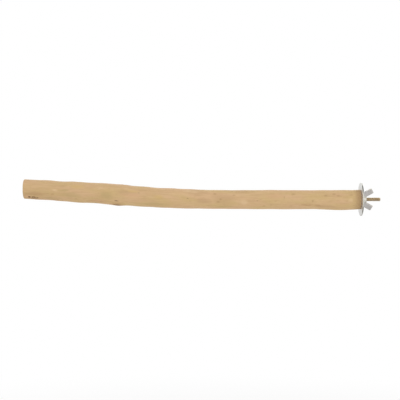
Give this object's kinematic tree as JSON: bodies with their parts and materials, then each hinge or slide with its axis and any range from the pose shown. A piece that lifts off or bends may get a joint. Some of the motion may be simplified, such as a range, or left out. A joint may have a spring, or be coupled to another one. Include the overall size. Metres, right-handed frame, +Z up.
{
  "type": "bird perch",
  "caption": "Peeled natural branch with a hanger bolt, two wide washers and a wing nut that clamp one end to a cage wall.",
  "frame": {"origin": "on the bolt's axis, in the plane where the two washers meet when the clamp is closed", "axes": "+X along the bolt, out through the cage wall towards the wing nut, so the branch runs to -X; +Z up; +Y to the back as pictured"},
  "size_m": [0.4766, 0.0444, 0.0493],
  "materials": {
    "peeled_wood": "bare sanded",
    "yellow_passivated_steel": "yellow passivated",
    "zinc_plated_washer": "bright zinc",
    "zinc_plated_nut": "bright zinc"
  },
  "bodies": {
    "perch": {"branch": "peeled_wood", "hanger_bolt": "yellow_passivated_steel"},
    "inner_washer": {"inner_washer": "zinc_plated_washer"},
    "outer_washer": {"outer_washer": "zinc_plated_washer"},
    "wing_nut": {"wing_nut": "zinc_plated_nut"}
  },
  "joints": [
    {"name": "inner_washer_spin", "type": "hinge", "parent": "perch", "child": "inner_washer", "pos_m": [0, 0, 0], "axis": [1, 0, 0], "continuous": true},
    {"name": "clamp_slide", "type": "slide", "parent": "perch", "child": "outer_washer", "axis": [1, 0, 0], "range_m": [0, 0.0184]},
    {"name": "nut_spin", "type": "hinge", "parent": "outer_washer", "child": "wing_nut", "pos_m": [0, 0, 0], "axis": [1, 0, 0], "range_deg": [0, 8280]}
  ],
  "couplings": [
    {"joint": "clamp_slide", "follows": "nut_spin", "m_per_rad": 0.00012732}
  ]
}
